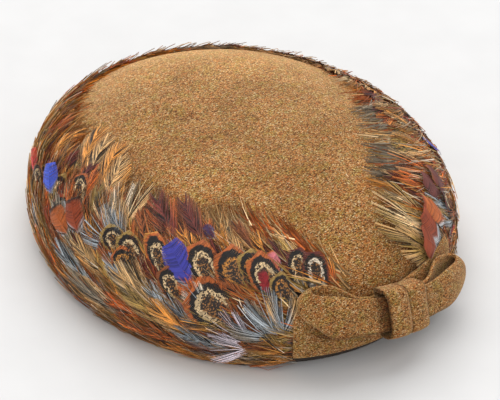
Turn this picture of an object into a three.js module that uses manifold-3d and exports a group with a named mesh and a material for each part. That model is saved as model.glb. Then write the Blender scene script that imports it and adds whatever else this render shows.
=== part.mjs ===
// A low oval tweed hat with a wide band of feathers round its side and a flat cloth bow in front.
// Millimetres, +Z up. The bow faces -Y, and the origin is at the bottom centre of the whole hat.
import * as THREE from "three";
import { mergeVertices } from "three/addons/utils/BufferGeometryUtils.js";
import Module from "manifold-3d";

const wasm = await Module();
wasm.setup();

// Crown
const CROWN_LENGTH = 283; // front to back, over the widest part of the side
const CROWN_WIDTH = 242; // side to side, over the widest part of the side
const CROWN_HEIGHT = 80;
const WIDEST_HEIGHT = 20; // how high above the table the side is widest
const RIM_TUCK = 21; // how far the side curls in below its widest part
const SHOULDER_POWER = 2.75; // squareness of the profile outwards
const DOME_POWER = 2.45; // squareness of the profile upwards
const CLOTH_WALL = 2.5; // tweed with its backing
const HEAD_LENGTH = 198; // oval opening for the head
const HEAD_WIDTH = 165;

// Feather band: a thin backing wrapped round the side, with feathers laid over it
const BAND_CLEARANCE = 1.2; // from the crown
const BAND_WALL = 1.2;
const BAND_TUCK = 9; // how far it curls in below the widest part, less than the crown does
const BAND_HEM = 6.5; // its lower edge, measured up its own side from the table
const FEATHER_LENGTH = 52;
const FEATHER_WIDTH = 19;
const FEATHER_RISE = 3.4; // how far a feather's ridge stands over the backing
const FEATHER_LIFT = 1.6; // how far a feather's tip lifts off
const FEATHER_ASIDE = 6; // room between the bow's base and the middle of a feather beside it
const FEATHER_ABOVE = 22; // the same over the bow, whose loops stand higher than its base
const FIRST_FEATHER = -0.52; // turn in radians of the first feather in a row, left of the bow
const ROW_STAGGER = 0.5; // of the space between two feathers, every other row

// Bow: a base cloth on the band, two flattened loops and the knot that wraps their roots
const BOW_CLEARANCE = 0.8; // between the base and the feather backing under it
const BOW_HEIGHT = 38; // the bow's middle, measured up the band's side from the table
const BOW_OFFSET = 5; // how far the bow's middle sits to the right of the crown's
const BOW_TILT = 9; // degrees, the bow's left end is the higher one
const BASE_WIDTH = 120;
const BASE_HEM = 16; // the base's lower edge, measured the same way
const BASE_RISE = 29; // from the base's lower edge to its upper edge
const BASE_WALL = 2.4;
const LOOP_REACH = 58; // from the middle of the knot to the end of a loop
const LOOP_RIBBON = 26; // width of the folded strip
const LOOP_GATHER = 0.84; // share of that width left where the knot gathers it
const LOOP_CORNER = 8; // how much shorter a loop is along its upper edge
const LOOP_NOSE = 0.45; // where it reaches furthest, as a share of its width from the lower edge
const LOOP_THICKNESS = 13; // over both layers of a loop, at its fullest
const ROOT_THICKNESS = 6.4; // over both layers inside the knot
const LOOP_WALL = 2.4;
const LOOP_SLANT = 5; // how much higher the back layer of a loop stands than its front one
const KNOT_WIDTH = 26;
const KNOT_DROP = 3; // how far the knot pulls the roots of the loops down
const KNOT_WALL = 2.2;
const KNOT_EASE = 4; // room that the rounded corners of the knot need round the loops
const KNOT_WAIST = 0.9; // share of its width left halfway up the knot
const KNOT_ROUNDNESS = 0.3; // of its section's corners, 0 is square and 1 is oval
const PLEAT_RISE = 2.6;
const KNOT_SWEEP = 2; // how far the front of the knot curves to the right
const ROOT_REACH = 21; // how far out from the middle of the knot a loop stays flat
const LOOP_FULL = 38; // and where it is at its fullest
const PIECE_CLEARANCE = 0.5; // between pieces of the bow that touch

// Folded ends of the loops: share of the strip's width left there, and how far the end is raised
const LOOP_ENDS = {
  left: { side: -1, taper: 0.66, raise: 3.5 },
  right: { side: 1, taper: 0.86, raise: 0.5 },
};

// Facets
const AROUND = 48;
const CROWN_ROWS = 15;
const INNER_ROWS = 9;
const BAND_ROWS = 10;
const RIM_CROWDING = 1.25; // rows lie closer together towards the rim
const LOOP_AROUND = 18;
const LOOP_STEPS = 4;
const KNOT_AROUND = 16;
const BASE_COLUMNS = 8;
const BASE_ROWS = 7;

// Upper edge of the feathers: turn in degrees from the bow, minus is its left, top as a share of the profile
const BAND_TOP = [
  { turn: -180, top: 0.36 },
  { turn: -160, top: 0.37 },
  { turn: -146, top: 0.41 },
  { turn: -122, top: 0.49 },
  { turn: -97, top: 0.475 },
  { turn: -78, top: 0.52 },
  { turn: -62, top: 0.485 },
  { turn: -36, top: 0.545 },
  { turn: -22, top: 0.52 },
  { turn: -11, top: 0.41 },
  { turn: 0, top: 0.31 },
  { turn: 14, top: 0.31 },
  { turn: 30, top: 0.44 },
  { turn: 45, top: 0.5 },
  { turn: 80, top: 0.5 },
  { turn: 100, top: 0.44 },
  { turn: 120, top: 0.385 },
  { turn: 180, top: 0.36 },
];

// Rows of feathers from the rim up. Root is a share of the band's height, lean is in degrees from straight
// up, clockwise round the hat as seen from above, and length and width are shares of the largest feather's.
const FEATHER_ROWS = [
  { root: 0.17, count: 19, lean: 66, length: 1.0, width: 1.0 },
  { root: 0.3, count: 19, lean: 60, length: 1.0, width: 1.0 },
  { root: 0.48, count: 18, lean: 50, length: 0.9, width: 0.9 },
  { root: 0.68, count: 20, lean: 38, length: 0.7, width: 0.85 },
];

// Outline of one feather: place along its length, width and ridge height as shares of its own
const FEATHER_SECTIONS = [
  { place: 0.1, width: 0.5, ridge: 0.7 },
  { place: 0.34, width: 0.95, ridge: 1.0 },
  { place: 0.6, width: 1.0, ridge: 0.9 },
  { place: 0.84, width: 0.7, ridge: 0.7 },
];

// Pleats across the knot: place as a share of its half width, rise as a share of the pleat's
const KNOT_PLEATS = [
  { place: -1, rise: 0 },
  { place: -0.86, rise: 0.7 },
  { place: -0.45, rise: 1 },
  { place: -0.02, rise: 0.7 },
  { place: 0.08, rise: 0 },
  { place: 0.18, rise: 0.35 },
  { place: 0.55, rise: 0.55 },
  { place: 0.88, rise: 0.35 },
  { place: 1, rise: 0 },
];

const QUARTER = Math.PI / 2;
const FULL_TURN = Math.PI * 2;
const MEAN_RADIUS = (CROWN_LENGTH + CROWN_WIDTH) / 4;
const RIM_PART = 0.2; // share of the profile curve's parameter that the rolled rim takes
const PROFILE_STEPS = 800;
const FEATHER_SEAT = 0.5; // how far up the backing's wall a feather's flat side lies

// Side view of the hat: a rolled rim up to the widest part, then a square-shouldered dome.
class HatProfile extends THREE.Curve {
  constructor(rimTuck) {
    super();
    this.rimTuck = rimTuck;
    this.arcLengthDivisions = PROFILE_STEPS;
  }

  getPoint(t, target = new THREE.Vector2()) {
    if (t < RIM_PART) {
      const angle = (t / RIM_PART) * QUARTER;
      const tuck = this.rimTuck * (1 - Math.sin(angle));
      return target.set(MEAN_RADIUS - tuck, WIDEST_HEIGHT * (1 - Math.cos(angle)));
    }
    const angle = ((t - RIM_PART) / (1 - RIM_PART)) * QUARTER;
    const reach = MEAN_RADIUS * Math.cos(angle) ** (2 / SHOULDER_POWER);
    const rise = (CROWN_HEIGHT - WIDEST_HEIGHT) * Math.sin(angle) ** (2 / DOME_POWER);
    return target.set(reach, WIDEST_HEIGHT + rise);
  }
}

const crownProfile = new HatProfile(RIM_TUCK);
const bandProfile = new HatProfile(BAND_TUCK);
const BAND_PROFILE_LENGTH = bandProfile.getLength();

// A point round the hat: turn in radians from the bow, share of the way up the profile, and mm outwards.
function pointOn(profile, turn, share, out) {
  const halfWidth = CROWN_WIDTH / 2;
  const halfLength = CROWN_LENGTH / 2;
  const point = profile.getPointAt(share);
  const tangent = profile.getTangentAt(share);
  const reach = point.x / MEAN_RADIUS;
  const slope = tangent.x / MEAN_RADIUS;
  const normal = new THREE.Vector3(
    halfLength * Math.sin(turn) * tangent.y,
    -halfWidth * Math.cos(turn) * tangent.y,
    -halfWidth * halfLength * slope,
  );
  const place = new THREE.Vector3(
    halfWidth * reach * Math.sin(turn),
    -halfLength * reach * Math.cos(turn),
    point.y,
  );
  return place.addScaledVector(normal.normalize(), out);
}

// The band's surface in mm: right of the crown's front, up the band's side, and outwards.
function sidePoint(right, up, out) {
  return pointOn(bandProfile, right / (CROWN_WIDTH / 2), up / BAND_PROFILE_LENGTH, out);
}

function ringAround(pointAtTurn) {
  return Array.from({ length: AROUND }, (_, i) => pointAtTurn((i / AROUND) * FULL_TURN));
}

function ovalRing(length, width, height) {
  return ringAround(
    (turn) => new THREE.Vector3((width / 2) * Math.sin(turn), (-length / 2) * Math.cos(turn), height),
  );
}

// Joins two rings with triangles. A ring of one point is a pole.
function bridge(corners, from, to) {
  const count = Math.max(from.length, to.length);
  for (let i = 0; i < count; i++) {
    const j = (i + 1) % count;
    const fromHere = from[i % from.length];
    const fromNext = from[j % from.length];
    const toHere = to[i % to.length];
    const toNext = to[j % to.length];
    if (from.length > 1) corners.push(fromHere, fromNext, toNext);
    if (to.length > 1) corners.push(fromHere, toNext, toHere);
  }
}

function skinOver(rings) {
  const corners = [];
  for (let i = 1; i < rings.length; i++) bridge(corners, rings[i - 1], rings[i]);
  return corners;
}

// A wall between an outer and an inner stack of rings, open at both ends or closed by poles.
function wallBetween(outer, inner) {
  const rings = [...outer, ...inner.toReversed()];
  return skinOver([...rings, rings[0]]);
}

// A sheet with an edge all round, from equal grids of points for its front and back.
function slabBetween(front, back) {
  const corners = [];
  const edge = [];
  const rows = front.length - 1;
  const columns = front[0].length - 1;
  const addFace = (a, b, c, d) => corners.push(a, b, c, a, c, d);
  for (let i = 0; i < rows; i++)
    for (let j = 0; j < columns; j++) {
      addFace(front[i][j], front[i][j + 1], front[i + 1][j + 1], front[i + 1][j]);
      addFace(back[i][j], back[i + 1][j], back[i + 1][j + 1], back[i][j + 1]);
    }
  for (let j = 0; j < columns; j++) edge.push([0, j]);
  for (let i = 0; i < rows; i++) edge.push([i, columns]);
  for (let j = columns; j > 0; j--) edge.push([rows, j]);
  for (let i = rows; i > 0; i--) edge.push([i, 0]);
  edge.forEach(([i, j], k) => {
    const [nextRow, nextColumn] = edge[(k + 1) % edge.length];
    addFace(back[i][j], back[nextRow][nextColumn], front[nextRow][nextColumn], front[i][j]);
  });
  return corners;
}

function geometryOf(corners) {
  return mergeVertices(new THREE.BufferGeometry().setFromPoints(corners));
}

function solidOf(corners) {
  const geometry = geometryOf(corners);
  const mesh = new wasm.Mesh({
    numProp: 3,
    vertProperties: geometry.attributes.position.array,
    triVerts: new Uint32Array(geometry.index.array),
  });
  return new wasm.Manifold(mesh);
}

function geometryOfSolid(solid) {
  const mesh = solid.getMesh();
  const geometry = new THREE.BufferGeometry();
  geometry.setAttribute("position", new THREE.BufferAttribute(mesh.vertProperties, 3));
  geometry.setIndex(new THREE.BufferAttribute(mesh.triVerts, 1));
  return geometry;
}

// Reads a table at a value between its rows.
function readTable(table, key, column, value) {
  const next = Math.max(1, table.findIndex((row) => row[key] >= value));
  const low = table[next - 1];
  const high = table[next];
  const part = (value - low[key]) / (high[key] - low[key]);
  return THREE.MathUtils.lerp(low[column], high[column], part);
}

function crownShares(rows) {
  return Array.from({ length: rows }, (_, i) => (i / rows) ** RIM_CROWDING);
}

// Crown: one cloth wall, tucked in under the rim to the oval edge where the head goes in
function makeCrown() {
  const ringAt = (share, out) => ringAround((turn) => pointOn(crownProfile, turn, share, out));
  const outer = [
    ovalRing(HEAD_LENGTH, HEAD_WIDTH, 0),
    ...crownShares(CROWN_ROWS).map((share) => ringAt(share, 0)),
    [pointOn(crownProfile, 0, 1, 0)],
  ];
  const inner = [
    ovalRing(HEAD_LENGTH, HEAD_WIDTH, CLOTH_WALL),
    ...crownShares(INNER_ROWS).map((share) => ringAt(share, -CLOTH_WALL)),
    [pointOn(crownProfile, 0, 1, -CLOTH_WALL)],
  ];
  return geometryOf(wallBetween(outer, inner));
}

function bandTop(turn) {
  const degrees = THREE.MathUtils.radToDeg(turn);
  const fromBow = THREE.MathUtils.euclideanModulo(degrees + 180, 360) - 180;
  return readTable(BAND_TOP, "turn", "top", fromBow);
}

function bandShare(turn, part) {
  return THREE.MathUtils.lerp(BAND_HEM / BAND_PROFILE_LENGTH, bandTop(turn), part);
}

function makeBandBacking() {
  const parts = Array.from({ length: BAND_ROWS + 1 }, (_, i) => (i / BAND_ROWS) ** RIM_CROWDING);
  const ringsAt = (out) =>
    parts.map((part) => ringAround((turn) => pointOn(bandProfile, turn, bandShare(turn, part), out)));
  return solidOf(wallBetween(ringsAt(BAND_CLEARANCE + BAND_WALL), ringsAt(BAND_CLEARANCE)));
}

// Turn and share of a place on a feather, along it and across it in mm from its root.
function featherPlace(turn, share, row, along, across) {
  const lean = THREE.MathUtils.degToRad(-row.lean);
  const right = along * Math.sin(lean) + across * Math.cos(lean);
  const up = along * Math.cos(lean) - across * Math.sin(lean);
  return [turn + right / MEAN_RADIUS, share + up / BAND_PROFILE_LENGTH];
}

// Whether the middle of a feather keeps off the bow and its base.
function clearsBow(turn, share, row) {
  return [0, 0.25, 0.5, 0.75, 1].every((place) => {
    const along = FEATHER_LENGTH * row.length * place;
    const [placeTurn, placeShare] = featherPlace(turn, share, row, along, 0);
    const fromBow = THREE.MathUtils.euclideanModulo(placeTurn + Math.PI, FULL_TURN) - Math.PI;
    const beside = Math.abs(fromBow * (CROWN_WIDTH / 2) - BOW_OFFSET) > BASE_WIDTH / 2 + FEATHER_ASIDE;
    const above = placeShare * BAND_PROFILE_LENGTH > BASE_HEM + BASE_RISE + FEATHER_ABOVE;
    return beside || above;
  });
}

// One feather lock: a leaf with a ridge, lying up the side and leaning clockwise round it.
function makeFeather(turn, share, row) {
  const length = FEATHER_LENGTH * row.length;
  const halfWidth = (FEATHER_WIDTH * row.width) / 2;
  const flat = BAND_CLEARANCE + BAND_WALL * FEATHER_SEAT;
  const pointAt = (along, across, out) =>
    pointOn(bandProfile, ...featherPlace(turn, share, row, along, across), out);
  const sections = FEATHER_SECTIONS.map((section) => {
    const along = length * section.place;
    const across = halfWidth * section.width;
    const lift = FEATHER_LIFT * section.place ** 2;
    const ridge = BAND_CLEARANCE + BAND_WALL + FEATHER_RISE * section.ridge;
    return [
      pointAt(along, -across, flat),
      pointAt(along, 0, ridge + lift),
      pointAt(along, across, flat),
    ];
  });
  const root = [pointAt(0, 0, flat)];
  const tip = [pointAt(length, 0, BAND_CLEARANCE + BAND_WALL + FEATHER_LIFT)];
  return solidOf(skinOver([root, ...sections, tip]));
}

// Feather band: the backing with every feather fused to it, none under the bow
function makeFeatherBand() {
  let band = makeBandBacking();
  FEATHER_ROWS.forEach((row, index) => {
    for (let i = 0; i < row.count; i++) {
      const turn = FIRST_FEATHER - ((i + ROW_STAGGER * (index % 2)) / row.count) * FULL_TURN;
      const share = bandShare(turn, row.root);
      if (clearsBow(turn, share, row)) band = band.add(makeFeather(turn, share, row));
    }
  });
  return geometryOfSolid(band);
}

// A place on the bow: along its middle line, straight up the ribbon from that line, and outwards.
function bowPoint(right, up, out) {
  const tilt = Math.tan(THREE.MathUtils.degToRad(BOW_TILT));
  const lineAt = (along, raise) => sidePoint(BOW_OFFSET + along, BOW_HEIGHT - along * tilt + raise, out);
  const ribbonUp = lineAt(right, 1).sub(lineAt(right, -1)).normalize();
  return lineAt(right, 0).addScaledVector(ribbonUp, up);
}

const BASE_INNER = BAND_CLEARANCE + BAND_WALL + BOW_CLEARANCE;
const BASE_OUTER = BASE_INNER + BASE_WALL;
const LOOP_MIDDLE = BASE_OUTER + PIECE_CLEARANCE + LOOP_THICKNESS / 2;

function makeBowBase() {
  const gridAt = (out) =>
    Array.from({ length: BASE_ROWS + 1 }, (_, i) =>
      Array.from({ length: BASE_COLUMNS + 1 }, (_, j) => {
        const up = BASE_HEM + BASE_RISE * (i / BASE_ROWS);
        return sidePoint(BOW_OFFSET + BASE_WIDTH * (j / BASE_COLUMNS - 0.5), up, out);
      }),
    );
  return geometryOf(slabBetween(gridAt(BASE_OUTER), gridAt(BASE_INNER)));
}

// Bow loop: a strip folded back to the knot, so its two layers stand apart and open upwards
function makeBowLoop({ side, taper, raise }) {
  const ringAt = (part, wall) =>
    Array.from({ length: LOOP_AROUND }, (_, i) => {
      const angle = side * (i / LOOP_AROUND) * FULL_TURN;
      const halfReach = (LOOP_REACH - PIECE_CLEARANCE) / 2 - wall;
      const reach = wall + PIECE_CLEARANCE + halfReach * (1 + Math.sin(angle));
      const fullness = THREE.MathUtils.smoothstep(reach, ROOT_REACH, LOOP_FULL);
      const ending = THREE.MathUtils.smoothstep(reach, LOOP_FULL, LOOP_REACH);
      const rounding = ((part - LOOP_NOSE) / (1 - LOOP_NOSE)) ** 2;
      const right = side * (reach - LOOP_CORNER * ending * rounding);
      const thickness = THREE.MathUtils.lerp(ROOT_THICKNESS, LOOP_THICKNESS, fullness);
      const gather = THREE.MathUtils.lerp(LOOP_GATHER, 1, fullness);
      const ribbon = LOOP_RIBBON * THREE.MathUtils.lerp(gather, taper, ending);
      const layer = Math.sign(Math.cos(angle)) * Math.sqrt(Math.abs(Math.cos(angle)));
      const slant = (LOOP_SLANT / 2) * layer * fullness;
      const middle = raise * ending - KNOT_DROP * (1 - fullness) - slant;
      const out = LOOP_MIDDLE + (thickness / 2 - wall) * layer;
      return bowPoint(right, ribbon * (part - 0.5) + middle, out);
    });
  const parts = Array.from({ length: LOOP_STEPS + 1 }, (_, i) => i / LOOP_STEPS);
  const outer = parts.map((part) => ringAt(part, 0));
  const inner = parts.map((part) => ringAt(part, LOOP_WALL));
  return geometryOf(wallBetween(outer, inner));
}

// Bow knot: a pleated band wrapped once round the roots of both loops
function makeBowKnot() {
  const innerRise = LOOP_RIBBON * LOOP_GATHER + 2 * PIECE_CLEARANCE + KNOT_EASE;
  const innerDepth = ROOT_THICKNESS + 2 * PIECE_CLEARANCE;
  const ringAt = (pleat, wall) =>
    Array.from({ length: KNOT_AROUND }, (_, i) => {
      const angle = (i / KNOT_AROUND) * FULL_TURN;
      const square = (value) => Math.sign(value) * Math.abs(value) ** KNOT_ROUNDNESS;
      const up = (innerRise / 2 + wall) * square(Math.cos(angle)) - KNOT_DROP;
      const front = Math.max(0, Math.sin(angle));
      const rise = wall > 0 ? PLEAT_RISE * pleat.rise * front : 0;
      const out = LOOP_MIDDLE + (innerDepth / 2 + wall) * square(Math.sin(angle)) + rise;
      const waist = THREE.MathUtils.lerp(KNOT_WAIST, 1, Math.abs(Math.cos(angle)));
      const right = (KNOT_WIDTH / 2) * pleat.place * waist + KNOT_SWEEP * front;
      return bowPoint(right, up, out);
    });
  const outer = KNOT_PLEATS.map((pleat) => ringAt(pleat, KNOT_WALL));
  const inner = KNOT_PLEATS.map((pleat) => ringAt(pleat, 0));
  return geometryOf(wallBetween(outer, inner));
}

// Materials
const tweed = new THREE.MeshStandardMaterial({ color: 0x9a6f35, roughness: 0.95, metalness: 0 });
const bowTweed = new THREE.MeshStandardMaterial({ color: 0x7f5a33, roughness: 0.95, metalness: 0 });
const feathers = new THREE.MeshStandardMaterial({ color: 0x6d4a35, roughness: 0.6, metalness: 0 });

function namedMesh(name, geometry, material) {
  const mesh = new THREE.Mesh(geometry, material);
  mesh.name = name;
  return mesh;
}

const hat = new THREE.Group();
hat.add(
  namedMesh("crown", makeCrown(), tweed),
  namedMesh("feather_band", makeFeatherBand(), feathers),
  namedMesh("bow_base", makeBowBase(), bowTweed),
  namedMesh("bow_loop_left", makeBowLoop(LOOP_ENDS.left), bowTweed),
  namedMesh("bow_loop_right", makeBowLoop(LOOP_ENDS.right), bowTweed),
  namedMesh("bow_knot", makeBowKnot(), bowTweed),
);

// The bow stands out further in front than the feathers do behind, so the whole is centred afterwards.
const box = new THREE.Box3().setFromObject(hat);
const middle = box.getCenter(new THREE.Vector3());
hat.position.set(-middle.x, -middle.y, -box.min.z);

export default hat;
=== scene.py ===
"""A low oval tweed hat with a wide band of feathers round its side and a flat cloth bow in front.

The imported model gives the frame. Sizes are in millimetres and repeat the part's own named sizes. Turn is
the angle round the hat from the bow, and up is the length up its side from the table.
"""
import math

import bpy
import numpy as np
from mathutils import Matrix, Vector


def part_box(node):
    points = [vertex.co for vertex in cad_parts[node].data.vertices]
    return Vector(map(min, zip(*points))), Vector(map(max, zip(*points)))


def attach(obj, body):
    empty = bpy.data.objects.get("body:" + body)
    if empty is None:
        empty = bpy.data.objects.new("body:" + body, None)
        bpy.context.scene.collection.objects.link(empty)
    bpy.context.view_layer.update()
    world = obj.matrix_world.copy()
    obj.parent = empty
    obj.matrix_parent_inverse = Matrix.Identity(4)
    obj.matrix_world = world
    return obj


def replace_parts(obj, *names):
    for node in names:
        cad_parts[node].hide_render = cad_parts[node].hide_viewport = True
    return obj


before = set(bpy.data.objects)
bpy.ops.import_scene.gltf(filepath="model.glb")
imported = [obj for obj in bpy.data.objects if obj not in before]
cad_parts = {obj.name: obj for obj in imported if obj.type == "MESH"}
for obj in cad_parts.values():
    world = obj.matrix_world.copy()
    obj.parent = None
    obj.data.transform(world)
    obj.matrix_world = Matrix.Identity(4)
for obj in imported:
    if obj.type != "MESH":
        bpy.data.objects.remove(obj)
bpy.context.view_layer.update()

MM = 0.001

# Crown
CROWN_LENGTH = 283
CROWN_WIDTH = 242
CROWN_HEIGHT = 80
WIDEST_HEIGHT = 20
RIM_TUCK = 21
SHOULDER_POWER = 2.75
DOME_POWER = 2.45
CLOTH_WALL = 2.5
HEAD_LENGTH = 198
HEAD_WIDTH = 165
CROWN_RIPPLE = 0.45
CROWN_AROUND = 144
CROWN_ROWS = 64

# Feather band
BAND_TUCK = 9
BAND_HEM = 6.5
BACKING_SHORT = 24  # how far the backing stays below the feathers' upper edge
BACKING_OUT = 1.1  # the backing's middle, clear of the crown's ripple and of the feathers' roots
BACKING_WALL = 0.6
BACKING_ROWS = 17
BACKING_AROUND = 120
LOWEST = 0.4  # no feather comes nearer to the table
LOWEST_ROOT = 2.0  # mm up the side, for feathers laid by the seed
BARE_FROM = -9  # turn in degrees where the tweed over the bow shows without feathers
BARE_TO = 17
LOOP_TOP = 56

# Bow
BOW_HEIGHT = 38
BOW_OFFSET = 5
BOW_TILT = 9
BASE_WIDTH = 120
BASE_HEM = 16
BASE_RISE = 29
BASE_OUT = 4.4
BASE_MARGIN = 2  # from the base's ends to the middle lines of feathers that aren't placed singly
LOOP_REACH = 58
LOOP_RIBBON = 26
LOOP_GATHER = 0.84
LOOP_CORNER = 8
LOOP_NOSE = 0.45
LOOP_THICKNESS = 13
ROOT_THICKNESS = 6.4
LOOP_SLANT = 5
LOOP_MIDDLE = 12.6
KNOT_WIDTH = 26
KNOT_DROP = 3
KNOT_RISE = 26.8
KNOT_DEPTH = 7.4
KNOT_WAIST = 0.9
KNOT_ROUNDNESS = 0.3
PLEAT_RISE = 2.6
KNOT_SWEEP = 2
ROOT_REACH = 21
LOOP_FULL = 38
PIECE_CLEARANCE = 0.5
BOW_CLOTH = 2.3
LOOP_ROLL = 3.2  # how far the long edges of a loop roll back

RIM_PART = 0.2
PROFILE_STEPS = 1200
HALF_WIDTH = CROWN_WIDTH / 2
HALF_LENGTH = CROWN_LENGTH / 2
MEAN_RADIUS = (HALF_WIDTH + HALF_LENGTH) / 2
QUARTER = math.pi / 2
FULL_TURN = 2 * math.pi

# Camera, fitted to the photograph
CAMERA_AZIMUTH = -35.3
CAMERA_ELEVATION = 36.8
CAMERA_DISTANCE = 1300
CAMERA_LENS = 151.3
CAMERA_AIM_HEIGHT = 39
CAMERA_AIM_RIGHT = 6.2
CAMERA_AIM_UP = -13.86

# Upper edge of the feathers as a share of the side's length, by turn in degrees
BAND_TOP = [
    (-180, 0.3), (-160, 0.31), (-146, 0.34), (-122, 0.425), (-97, 0.46), (-78, 0.515),
    (-62, 0.485), (-36, 0.545), (-20, 0.5), (-11, 0.4), (0, 0.24), (20, 0.24),
    (30, 0.46), (45, 0.5), (80, 0.5), (100, 0.42), (120, 0.345), (180, 0.3),
]

# Pleats across the knot: place as a share of its half width, rise as a share of the pleat's
KNOT_PLEATS = [
    (-1, -0.2), (-0.93, 0.3), (-0.78, 0.8), (-0.5, 1), (-0.25, 0.85), (-0.1, 0.4), (0, -0.2),
    (0.07, 0), (0.2, 0.4), (0.5, 0.6), (0.78, 0.4), (0.93, 0.1), (1, -0.2),
]

# Folded ends of the loops: share of the strip's width left there, and how far the end is raised
LOOP_ENDS = {
    "left": {"side": -1, "taper": 0.66, "raise": 3.5},
    "right": {"side": 1, "taper": 0.86, "raise": 0.5},
}

# Colours of the feathers, in sRGB
TINTS = {
    "rust": (172, 88, 34),
    "gold": (194, 130, 56),
    "russet": (138, 56, 22),
    "brown": (130, 70, 30),
    "maroon": (92, 36, 28),
    "olive": (152, 122, 62),
    "tan": (188, 150, 100),
    "grey": (142, 128, 108),
    "slate": (146, 152, 156),
    "lavender": (196, 184, 192),
    "cream": (220, 190, 144),
    "white": (224, 208, 184),
    "black": (30, 24, 22),
    "cobalt": (58, 58, 150),
    "blue": (66, 88, 196),
    "red": (206, 52, 46),
    "crimson": (140, 22, 30),
    "violet": (70, 46, 84),
    "pink": (206, 116, 122),
}

# Rows of field feathers from the rim up. Root is a share of the band's height and lean is in degrees from
# straight up, clockwise round the hat as seen from above.
ROW_COLUMNS = ("root", "count", "lean", "length", "width", "lift", "palette")
FIELD_ROWS = [
    (0.0, 62, 86, 52, 14, 2.0, "low"),
    (0.1, 64, 77, 56, 16, 3.2, "low"),
    (0.21, 64, 68, 54, 17, 3.4, "low"),
    (0.33, 62, 58, 48, 17, 3.4, "middle"),
    (0.46, 62, 50, 42, 16, 2.8, "middle"),
    (0.58, 64, 44, 38, 16, 2.0, "top"),
    (0.7, 66, 38, 32, 15, 1.2, "top"),
]
PALETTES = {
    "low": "olive gold rust olive brown gold tan slate rust tan brown".split(),
    "middle": "rust russet gold rust brown maroon olive".split(),
    "fringe": "gold tan cream rust olive tan gold grey rust".split(),
    "top": "gold tan rust brown maroon olive gold rust tan rust".split(),
    "stray": "cream tan gold white olive rust".split(),
}
CLUMP_TURN = 0.13  # feathers closer together than this mostly share their colours
PATCHES = 400  # more than there are clumps in a row
STRAY_SHARE = 0.25  # share of the feathers whose colour isn't their clump's
TINT_LIGHT = (0.6, 1.3)  # least and most of a tint's light, as a factor
SEED = 7

# How laid feathers differ from their row: the spread of root and lean, the mean and the spread of the
# bend, and the least and the most of the sizes as a factor
ROW_SPREAD = {
    "root": 0.03, "lean": 8, "bend": (2, 2.5),
    "length": (0.8, 1.15), "width": (0.8, 1.2), "lift": (0.7, 1.25),
}
ROW_STRAY = 0.4  # how far feathers stray from even places, as a share of their spacing

# Eyed feathers scattered by the seed round the sides and the back
SCATTER = {"root": 0.45, "count": 34, "lean": 52, "length": 26, "width": 15, "lift": 3}
SCATTER_TURNS = (62, 268)  # degrees
SCATTER_SPREAD = {
    "root": 0.1, "lean": 12, "bend": (0, 1.5),
    "length": (0.8, 1.2), "width": (0.8, 1.2), "lift": (0.85, 1.15),
}

# Fine single barbs in mm: the mean and the spread of their bend, and the least and the most of the rest
FRINGE_COUNT = 3600
FRINGE_BELOW_TOP = (4, 20)
FRINGE_LEAN = (-38, 14)  # degrees
FRINGE_BARBS = {
    "bend": (3, 2), "length": (14, 27), "width": (0.4, 0.8), "out": (1.5, 3.0), "lift": (-1.8, -0.6),
}
STRAY_COUNT = 6000
STRAY_PLACE = (0.02, 0.7)  # share of the band's height
STRAY_LEAN = (-84, 48, 12)  # degrees at the rim, how much less at the top, and spread
STRAY_BARBS = {
    "bend": (1, 3), "length": (16, 36), "width": (0.45, 0.8), "out": (2.5, 5.0), "lift": (0.0, 2.2),
}

# Single feathers, most of them seen in the photograph and the ones at the far side guessed. Turn and lean
# are in degrees, the rest in mm, and the tints are the feather's own and its edge's.
PLACED_COLUMNS = ("turn", "up", "lean", "length", "width", "lift", "tints")
EYED = [
    (-44, 50, -35, 34, 20, 6.5, "cream rust"),
    (-34.7, 50, -40, 34, 23, 6.5, "gold rust"),
    (-31.2, 54, -30, 27, 17, 6.0, "gold olive"),
    (-26.7, 49, -38, 32, 19, 7.5, "cream rust"),
    (-38.2, 37, -62, 36, 27, 7.5, "cream rust"),
    (-21.5, 56, -9, 22, 15, 7.0, "cream maroon"),
    (-18, 52, 6, 23, 16, 8.0, "white maroon"),
    (-25.3, 47, -32, 20, 14, 7.0, "gold olive"),
    (-56.2, 48, -40, 36, 14, 6.0, "cream rust"),
    (-60.2, 52, -30, 28, 13, 6.0, "cream gold"),
    (-64.2, 50, -52, 30, 15, 6.2, "cream olive"),
    (-52.7, 42, -46, 25, 14, 6.0, "cream brown"),
    (-67.2, 49, -64, 19, 14, 6.5, "gold rust"),
    (-71.2, 58, -70, 22, 14, 6.5, "cream olive"),
    (-112, 44, -58, 20, 11, 6.5, "cream brown"),
    (46, 40, -40, 24, 13, 6.0, "cream maroon"),
]
TIPPED = [
    (-48.7, 47, -44, 37, 17, 8.5, "cobalt cobalt"),
    (-104.5, 49, -50, 26, 13, 8.0, "blue blue"),
    (72, 61, -102, 24, 12, 5.5, "cobalt cobalt"),
    (-119, 42, -59, 22, 9, 7.5, "red red"),
    (-46.2, 80, -40, 14, 7, 3.5, "violet maroon"),
    (-29.7, 47, -24, 22, 8, 6.0, "crimson maroon"),
    (-27, 62, -20, 17, 7, 4.5, "pink rust"),
    (27.5, 40, -46, 27, 18, 8.0, "russet russet"),
    (28.5, 40, -12, 28, 18, 7.6, "russet russet"),
    (43, 44, -18, 32, 18, 6.5, "maroon maroon"),
    (51, 42, -30, 32, 17, 6.0, "maroon brown"),
    (38, 40, -34, 36, 14, 7.5, "rust russet"),
    (35, 36, -12, 11, 5, 8.5, "crimson red"),
    (-89.2, 44, -66, 27, 13, 8.0, "rust black"),
    (-86.7, 47, -48, 28, 13, 8.5, "russet black"),
    (-145, 34, -62, 26, 12, 3.5, "cobalt cobalt"),
    (160, 32, -60, 28, 12, 3.5, "crimson crimson"),
    (118, 36, -64, 26, 12, 4.0, "blue blue"),
]
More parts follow.
